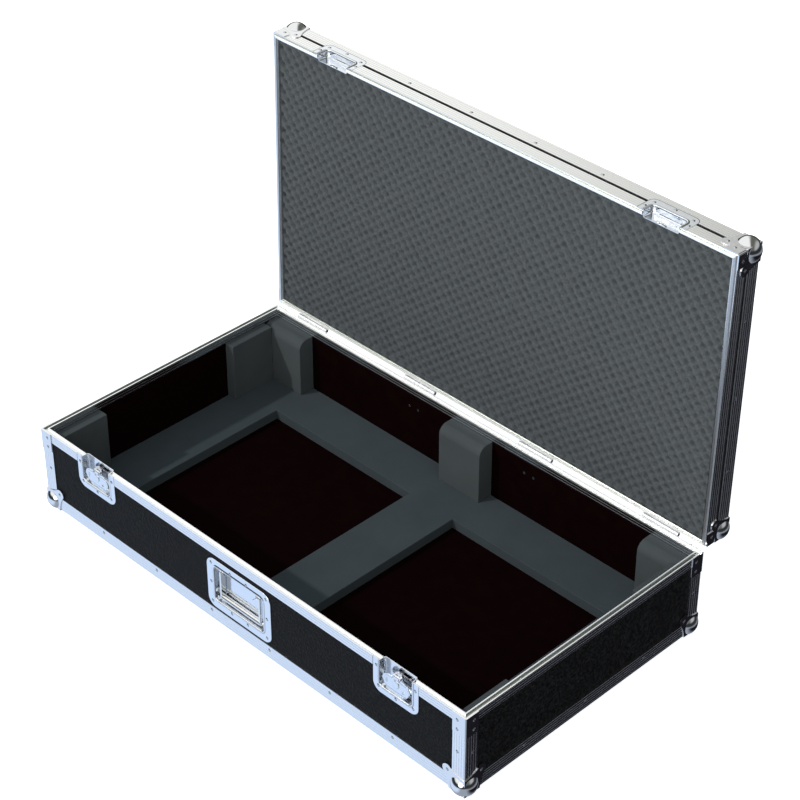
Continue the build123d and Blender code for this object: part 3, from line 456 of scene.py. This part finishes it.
# Dishes of the latches and the handle: sheet steel pressed in one stroke and plated a bluish
# white. Each has a soft raised lip round its cup, and is riveted into the front boards.
plated = worn_metal(
    "plated_sheet", (0.80, 0.84, 0.90), 0.13, 90.0, (0.09, 0.18), dents=(0.18, 0.0009)
)
LATCHES = (("left", -0.408), ("right", 0.408))
CUP_DEPTH = 0.014
SHEET = 0.0011
HALF_GAP = 0.0002
PLATE_EDGE = ((0, -0.0012), (0, -0.0004), (0.0004, 0), (0.0009, 0))
LIP_AND_CUP = (
    (-0.0062, 0), (-0.0058, -0.0001), (-0.0052, -0.0001), (-0.0042, 0.0006), (-0.0030, 0.0012),
    (-0.0018, 0.0013), (-0.0008, 0.0008), (-0.0001, -0.0002), (0.0002, -0.0018),
    (0.0005, 0.004 - CUP_DEPTH), (0.0009, 0.002 - CUP_DEPTH), (0.0018, 0.0006 - CUP_DEPTH),
    (0.003, -CUP_DEPTH), (0.0036, -CUP_DEPTH),
)
CORNER_STEPS = 8
FIRST_INSET = 0.00001
PRESSED_TURN = 40


def ring(centre, half, low, high, radius, depth):
    """Points round a rectangle with rounded corners, at a depth behind the front face."""
    points = []
    corners = ((-half + radius, low + radius), (half - radius, low + radius),
               (half - radius, high - radius), (-half + radius, high - radius))
    for turn, (x, z) in enumerate(corners):
        for step in range(CORNER_STEPS + 1):
            angle = pi + pi / 2 * (turn + step / CORNER_STEPS)
            across, up = x + radius * cos(angle), z + radius * sin(angle)
            points.append(Vector((centre + across, FRONT + depth, up)))
    return points


def nested(centre, shape, profile, floor=0):
    """Rings of one shape (half width, low, high, radius), from a profile of pairs.

    Each pair says how far the ring is drawn in, and how far it stands out from the floor.
    """
    half, low, high, radius = shape
    return [
        ring(centre, half - by, low + by, high - by, radius - by, floor - rise)
        for by, rise in profile
    ]


def press(name, rings):
    """Presses a sheet from its edge inwards: each ring is drawn in from the one before."""
    bpy.ops.mesh.primitive_circle_add(vertices=len(rings[0]), radius=0.02, fill_type="NGON")
    sheet = bpy.context.object
    sheet.name = name
    bpy.ops.object.mode_set(mode="EDIT")
    for count, points in enumerate(rings):
        if count:
            bpy.ops.mesh.inset(thickness=FIRST_INSET)
        shape = bmesh.from_edit_mesh(sheet.data)
        corners = next(face for face in shape.faces if face.select).verts[:]
        first = 0
        if count:
            ends = [(corners[0].co - point).length for point in rings[count - 1]]
            first = ends.index(min(ends))
        for at, corner in enumerate(corners):
            corner.co = points[(first + at) % len(points)]
        bmesh.update_edit_mesh(sheet.data)
    bpy.ops.object.mode_set(mode="OBJECT")
    return sheet


def cut_at(sheet, height, above):
    """Trims a sheet at a height and throws away one side."""
    cut = {"plane_co": (0, 0, height), "plane_no": (0, 0, 1)}
    bpy.ops.object.mode_set(mode="EDIT")
    bpy.ops.mesh.select_all(action="SELECT")
    bpy.ops.mesh.bisect(**cut, clear_outer=above, clear_inner=not above)
    bpy.ops.object.mode_set(mode="OBJECT")


def thicken(sheet):
    """Gives a sheet its thickness behind its face."""
    wall = sheet.modifiers.new("sheet", "SOLIDIFY")
    wall.thickness = SHEET
    wall.offset = -1
    bpy.ops.object.modifier_apply(modifier=wall.name)
    bpy.ops.object.shade_smooth_by_angle(angle=radians(PRESSED_TURN))
    level(sheet)


LATCH_PLATE = (0.0554, 0.1078, 0.23, 0.0195)
LATCH_CUP = (0.0395, 0.1245, 0.22, 0.009)
for side, centre in LATCHES:
    rings = nested(centre, LATCH_PLATE, PLATE_EDGE) + nested(centre, LATCH_CUP, LIP_AND_CUP)
    dish = press(f"latch_dish_{side}_pressed", rings)
    cut_at(dish, PARTING - HALF_GAP, True)
    thicken(dish)
    fit(dish, plated, "base", f"latch_dish_{side}")

HANDLE_PLATE = (0.087, 0.0338, 0.1498, 0.02)
HANDLE_CUP = (0.0665, 0.0538, 0.1328, 0.008)
rings = nested(0, HANDLE_PLATE, PLATE_EDGE) + nested(0, HANDLE_CUP, LIP_AND_CUP)
dish = press("handle_dish_pressed", rings)
thicken(dish)
fit(dish, plated, "base", "handle_dish")


# Latch works: a steel spindle with a hub, a dark hook that turns on it, and a wing folded
# down on a pin. The wing is pressed with a raised boss in the middle and a rim round it.
SPINDLE_Z = 0.1633
HOOK_EASE, SPINDLE_EASE, WING_EASE = 0.0006, 0.0005, 0.00045
WING_FACE = 0.0012
LOBES = (0.0335, SPINDLE_Z - 0.0345, SPINDLE_Z - 0.0025, 0.0158)
LOBE_RIM = ((0.0022, -0.0001), (0.0026, 0.0003), (0.0036, 0.0003), (0.0042, -0.0001))
BOSS = (0.0072, SPINDLE_Z - 0.0235, SPINDLE_Z - 0.0065, 0.0068)
BOSS_DOME = ((0, -0.0001), (0.0003, 0.0008), (0.0009, 0.0013), (0.002, 0.0015), (0.004, 0.0015))
MARK = (0.0011, SPINDLE_Z - 0.022, SPINDLE_Z - 0.012, 0.001)
MARK_AT = -0.0232
MARK_PIT = (
    (-0.0009, -0.0001), (-0.0006, 0.0004), (-0.0002, 0.0004), (0, -0.0006), (0.0004, -0.0006)
)


def open_middle(sheet):
    """Takes out the middle face of a pressed part, so that it is a frame."""
    select_only(sheet)
    bpy.ops.object.mode_set(mode="EDIT")
    bpy.ops.mesh.select_all(action="DESELECT")
    shape = bmesh.from_edit_mesh(sheet.data)
    max(shape.faces, key=lambda face: len(face.verts)).select = True
    bmesh.update_edit_mesh(sheet.data)
    bpy.ops.mesh.delete(type="FACE")
    bpy.ops.object.mode_set(mode="OBJECT")


def join(whole, parts, angle):
    """Joins parts to a piece, and smooths its faces where they meet nearly flat."""
    select_only(whole)
    for part in parts:
        part.select_set(True)
    bpy.ops.object.join()
    bpy.ops.object.shade_smooth_by_angle(angle=radians(angle))


hook_metal, tree, shader = finish("hook_metal", (0.22, 0.23, 0.25), 1, 0.16)
share = node(tree, "MapRange", [noise(tree, place(tree), 160.0, 4.0), 0.35, 0.7])
vary(tree, shader, blend(tree, share, (0.12, 0.125, 0.14), (0.36, 0.37, 0.40)))
pin_metal = worn_metal("pin_metal", (0.74, 0.76, 0.80), 0.12, 200.0, (0.09, 0.2))
for side, centre in LATCHES:
    eased_copy(f"latch_hook_{side}", HOOK_EASE, hook_metal, 3)
    eased_copy(f"latch_spindle_{side}", SPINDLE_EASE, pin_metal, 3)
    wing = eased_copy(f"latch_wing_{side}", WING_EASE, plated)
    raised = [
        press("wing_part", nested(middle, shape, profile, WING_FACE))
        for middle, shape, profile in (
            (centre, LOBES, LOBE_RIM),
            (centre, BOSS, BOSS_DOME),
            (centre + MARK_AT, MARK, MARK_PIT),
        )
    ]
    open_middle(raised[0])
    for part in raised:
        part.data.materials.append(plated)
    join(wing, raised, PRESSED_TURN)
    level(wing)
dress(["latch_pin_left", "latch_pin_right"], pin_metal)


# Keepers: the lid's half of each latch cup, pressed from the same sheet and riveted into the
# front of the lid. The hook pulls on an arched lip on the floor of the cup, beside which the
# sheet has a small catch and a pocket.
KEEPER_PLATE = (0.0545, 0.13, 0.2258, 0.0135)
KEEPER_CUP = (0.0395, 0.14, 0.2063, 0.0075)
LIP = ((0.0205, 0.0142), (0.0207, 0.0122), (0.0213, 0.0115),
       (0.0236, 0.0115), (0.0240, 0.0122), (0.0242, 0.0142))
LIP_HALF_ANGLE = 24.4
LIP_STEPS = 16
LIP_LOW = 0.1816
CATCH_AT, CATCH = 0.014, (0.0085, 0.1945, 0.2005, 0.003)
CATCH_DOME = ((0, -0.0001), (0.0004, 0.0009), (0.0012, 0.0014), (0.0022, 0.0015))
POCKET_AT, POCKET = -0.0175, (0.0075, 0.1925, 0.1995, 0.0022)
POCKET_PIT = (
    (-0.0012, -0.0001), (-0.0009, 0.0003), (-0.0003, 0.0003), (0, -0.0008), (0.0002, -0.0028)
)
lid_turn = (
    Matrix.Translation(HINGE) @ Matrix.Rotation(-LID_ANGLE, 4, "X") @ Matrix.Translation(-HINGE)
)


def arched_lip(centre):
    """The lip that the hook pulls on: an arc about the spindle, raised from the cup's floor."""
    shape = bmesh.new()
    rows = []
    for radius, depth in LIP:
        row = []
        for step in range(LIP_STEPS + 1):
            angle = radians(90 + LIP_HALF_ANGLE * (1 - 2 * step / LIP_STEPS))
            x, z = centre + radius * cos(angle), SPINDLE_Z + radius * sin(angle)
            row.append(shape.verts.new((x, FRONT + depth, max(z, LIP_LOW))))
        rows.append(row)
    for one, two in zip(rows, rows[1:]):
        for at in range(LIP_STEPS):
            shape.faces.new((one[at], one[at + 1], two[at + 1], two[at]))
    for end in (0, LIP_STEPS):
        shape.faces.new([row[end] for row in rows])
    bmesh.ops.recalc_face_normals(shape, faces=shape.faces)
    mesh = bpy.data.meshes.new("lip")
    shape.to_mesh(mesh)
    lip = bpy.data.objects.new("lip", mesh)
    scene.collection.objects.link(lip)
    return lip


for side, centre in LATCHES:
    rings = nested(centre, KEEPER_PLATE, PLATE_EDGE) + nested(centre, KEEPER_CUP, LIP_AND_CUP)
    keeper = press(f"keeper_dish_{side}_pressed", rings)
    cut_at(keeper, PARTING + HALF_GAP, False)
    thicken(keeper)
    lip = arched_lip(centre)
    catch_rings = nested(centre + CATCH_AT, CATCH, CATCH_DOME, CUP_DEPTH)
    pocket_rings = nested(centre + POCKET_AT, POCKET, POCKET_PIT, CUP_DEPTH)
    extras = [press("keeper_part", rings) for rings in (catch_rings, pocket_rings)]
    join(keeper, [*extras, lip], PRESSED_TURN)
    keeper.data.transform(lid_turn)
    level(keeper)
    fit(keeper, plated, "lid", f"keeper_dish_{side}")


# Handle: a chromed bail of two flat arms and a round grip. It swings on two steel pins in the
# cheeks of its dish, and the coil springs round them hold it flat.
bail_metal = worn_metal("bail_chrome", (0.84, 0.84, 0.83), 0.1, 120.0, (0.06, 0.15))
BAIL_EASE = 0.0007
eased_copy("handle_bail", BAIL_EASE, bail_metal, 3)
dress(["handle_pins", "handle_springs"], pin_metal)


# Hinges: four pairs of plated steel leaves rolled round a steel pin and riveted to the backs of
# the base and the lid. Lugs on the base's leaves stop the lid a degree past upright.
hinge_metal = worn_metal(
    "hinge_metal", (0.86, 0.87, 0.88), 0.28, 120.0, (0.22, 0.34), metallic=0.5
)
dress(["hinge_base_leaves", "hinge_lid_leaves"], hinge_metal)
dress(["hinge_pins"], pin_metal)


# Foam tray: one sheet of charcoal foam on the floor board, with two pockets cut through it.
# It lies loose inside the walls, and its cut edges are crisp but a little soft.
POCKET_NEAR, POCKET_FAR, POCKET_HALF = 0.059, 0.4515, 0.191
DRIFT_SCALE, DRIFT = 60.0, 0.014
FOAM_EASE, FOAM_TURN = 0.0012, 50


def toned(color, share):
    """A colour made darker or paler."""
    return tuple(share * value for value in color)


def wander(tree, spot):
    """Moves a point a little to one side and the other, so that cut rows aren't quite even."""
    drift = noise(tree, spot, DRIFT_SCALE, 3.0, 1)
    centred = node(tree, "VectorMath", {0: drift, 1: (0.5, 0.5, 0.5)}, operation="SUBTRACT")
    shift = node(tree, "VectorMath", {0: centred, 3: DRIFT}, operation="SCALE")
    return node(tree, "VectorMath", {0: spot, 1: shift}, operation="ADD")


def waves(tree, spot, rows):
    """The sum of the waves of rows, each given by its turns per metre across and along."""
    total = None
    for across, along, weight in rows:
        turns = {0: spot, 1: (2 * pi * across, 2 * pi * along, 0)}
        angle = node(tree, "VectorMath", turns, 1, operation="DOT_PRODUCT")
        wave = maths(tree, "MULTIPLY", maths(tree, "COSINE", angle), weight)
        total = wave if total is None else maths(tree, "ADD", total, wave)
    return total


def foam(name, color, lid=False, rows=()):
    """Open-cell foam: matt, with fine pores and an uneven tone; in its rows the dimples are
    darkened as painted shade.
    """
    stuff, tree, shader = finish(name, color, 0, 1.0, 0.1)
    spot = place(tree, lid)
    scale, dark, pale = (260.0, 0.82, 1.2) if rows else (14.0, 0.93, 1.07)
    share = node(tree, "MapRange", [noise(tree, spot, scale, 4.0), 0.3, 0.7])
    tone = blend(tree, share, toned(color, dark), toned(color, pale))
    if rows:
        # Painted shade: the colour darkens where the waves make the dimples deepest.
        painted_dimple_shade = ramp(tree, waves(tree, wander(tree, spot), rows), 0.1, 1.7)
        tone = blend(tree, maths(tree, "MULTIPLY", painted_dimple_shade, 0.7), tone, toned(color, 0.6))
    vary(tree, shader, tone, None, noise(tree, spot, 700.0, 3.0), 0.6, 0.0006)
    return stuff


def soften(piece):
    """Rounds the cut edges of foam a little."""
    round_edges(piece, FOAM_EASE, 3, FOAM_TURN)
    bpy.ops.object.shade_smooth_by_angle(angle=radians(FOAM_TURN))


low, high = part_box("foam_tray")
bpy.ops.mesh.primitive_plane_add(size=1)
tray = bpy.context.object
tray.name = "foam_tray_cut"
bpy.ops.object.mode_set(mode="EDIT")
shape = bmesh.from_edit_mesh(tray.data)
for corner in shape.verts:
    corner.co = (
        high.x if corner.co.x > 0 else low.x, high.y if corner.co.y > 0 else low.y, low.z
    )
bmesh.update_edit_mesh(tray.data)
for axis, cuts in (
    ((1, 0, 0), (-POCKET_FAR, -POCKET_NEAR, POCKET_NEAR, POCKET_FAR)),
    ((0, 1, 0), (-POCKET_HALF, POCKET_HALF)),
):
    for cut in cuts:
        bpy.ops.mesh.select_all(action="SELECT")
        bpy.ops.mesh.bisect(plane_co=[cut * part for part in axis], plane_no=axis)
bpy.ops.mesh.select_all(action="DESELECT")
shape = bmesh.from_edit_mesh(tray.data)
for face in shape.faces:
    middle = face.calc_center_median()
    face.select = abs(middle.y) < POCKET_HALF and POCKET_NEAR < abs(middle.x) < POCKET_FAR
bmesh.update_edit_mesh(tray.data)
bpy.ops.mesh.delete(type="FACE")
bpy.ops.mesh.select_all(action="SELECT")
bpy.ops.mesh.extrude_region_move(TRANSFORM_OT_translate={"value": (0, 0, high.z - low.z)})
bpy.ops.mesh.select_all(action="SELECT")
bpy.ops.mesh.normals_make_consistent(inside=False)
bpy.ops.mesh.dissolve_limited(angle_limit=radians(1))
bpy.ops.object.mode_set(mode="OBJECT")
soften(tray)
level(tray)
fit(tray, foam("tray_foam", (0.043, 0.054, 0.060)), "base", "foam_tray")


# Foam blocks: paler foam, cut on a saw and glued to the walls, each with its top edge rounded
# on the side that faces the keyboard.
block_foam = foam("block_foam", (0.053, 0.062, 0.066))
BLOCK_LOW, BLOCK_HIGH = 0.0316, 0.1633
BLOCK_ROUNDING, ROUNDING_STEPS = 0.02, 12
OFF_MIDDLE, BELOW_TOP = 0.005, 0.001
WALL_X, WALL_Y = 0.5642, 0.3002
BACK_SPANS = ((-WALL_X, -0.455), (-0.0505, 0.0595), (0.4605, WALL_X))
SIDE_SPANS = ((0.1555, 0.2627), (-WALL_Y, -0.1765))
BLOCKS = (
    ("back", (0, -1, 0), [(span, (0.263, WALL_Y)) for span in BACK_SPANS]),
    ("left", (1, 0, 0), [((-WALL_X, -0.5405), span) for span in SIDE_SPANS]),
    ("right", (-1, 0, 0), [((0.5405, WALL_X), span) for span in SIDE_SPANS]),
)


def sawn_block(x_span, y_span, inward):
    """A block between two pairs of planes, with its upper inner edge rounded."""
    bpy.ops.mesh.primitive_cube_add(size=1)
    block = bpy.context.object
    bpy.ops.object.mode_set(mode="EDIT")
    shape = bmesh.from_edit_mesh(block.data)
    for corner in shape.verts:
        corner.co = (
            x_span[corner.co.x > 0], y_span[corner.co.y > 0],
            BLOCK_HIGH if corner.co.z > 0 else BLOCK_LOW,
        )
    middle = Vector((sum(x_span) / 2, sum(y_span) / 2, BLOCK_HIGH))
    for edge in shape.edges:
        spot = (edge.verts[0].co + edge.verts[1].co) / 2
        inner = (spot - middle).dot(Vector(inward)) > OFF_MIDDLE
        edge.select = inner and spot.z > BLOCK_HIGH - BELOW_TOP
    shape.select_flush_mode()
    bmesh.update_edit_mesh(block.data)
    bpy.ops.mesh.bevel(offset=BLOCK_ROUNDING, segments=ROUNDING_STEPS, affect="EDGES")
    bpy.ops.object.mode_set(mode="OBJECT")
    soften(block)
    return block


for side, inward, spans in BLOCKS:
    block, *others = [sawn_block(x_span, y_span, inward) for x_span, y_span in spans]
    join(block, others, FOAM_TURN)
    block.name = f"foam_blocks_{side}_cut"
    level(block)
    fit(block, block_foam, "base", f"foam_blocks_{side}")


# Lid foam: a sheet of profiled foam glued into the lid, with round dimples in slanting rows.
# It is cut between rollers, so the dimples are even, but each is a little different.
ROW_ONE, ROW_TWO = Vector((40.0, -33.3)), Vector((40.0, 47.9))
WAVE_ONE, WAVE_TWO = 1.3, 0.7
WAVE_LOW, WAVE_SPAN = -1.2, 3.0
PAD_X, PAD_LOW_Y, PAD_HIGH_Y = 0.5632, -0.2955, 0.2992
PAD_FACE, PAD_BACK = 0.1855, 0.2328
PAD_BORDER = 0.006
PAD_CELLS_LONG, PAD_CELLS_WIDE = 374, 198
DIMPLE_DEPTH = 0.008
lid_foam = foam("lid_foam", (0.0625, 0.0695, 0.0755), True, ((*ROW_ONE, 1.15), (*ROW_TWO, 0.8)))
bpy.ops.mesh.primitive_grid_add(
    x_subdivisions=PAD_CELLS_LONG, y_subdivisions=PAD_CELLS_WIDE, size=2
)
pad = bpy.context.object
pad.name = "lid_foam_profiled"
bpy.ops.object.mode_set(mode="EDIT")
shape = bmesh.from_edit_mesh(pad.data)
for corner in shape.verts:
    x = PAD_X * corner.co.x
    y = PAD_LOW_Y + (PAD_HIGH_Y - PAD_LOW_Y) * (corner.co.y + 1) / 2
    spot = Vector((x, y))
    wave = WAVE_ONE * cos(2 * pi * ROW_ONE.dot(spot)) + WAVE_TWO * cos(2 * pi * ROW_TWO.dot(spot))
    share = max(0.0, min(1.0, (wave - WAVE_LOW) / WAVE_SPAN))
    edge = min(PAD_X - abs(x), y - PAD_LOW_Y, PAD_HIGH_Y - y)
    fade = min(1.0, edge / PAD_BORDER)
    corner.co = (x, y, PAD_FACE + DIMPLE_DEPTH * share * share * (3 - 2 * share) * fade)
bmesh.update_edit_mesh(pad.data)
bpy.ops.mesh.select_all(action="SELECT")
bpy.ops.mesh.flip_normals()
bpy.ops.mesh.region_to_loop()
bpy.ops.mesh.extrude_edges_move()
shape = bmesh.from_edit_mesh(pad.data)
for corner in shape.verts:
    if corner.select:
        corner.co.z = PAD_BACK
bmesh.update_edit_mesh(pad.data)
bpy.ops.mesh.edge_face_add()
bpy.ops.mesh.select_all(action="SELECT")
bpy.ops.mesh.normals_make_consistent(inside=False)
bpy.ops.object.mode_set(mode="OBJECT")
bpy.ops.object.shade_smooth_by_angle(angle=radians(FOAM_TURN))
pad.data.transform(lid_turn)
fit(pad, lid_foam, "lid", "lid_foam")
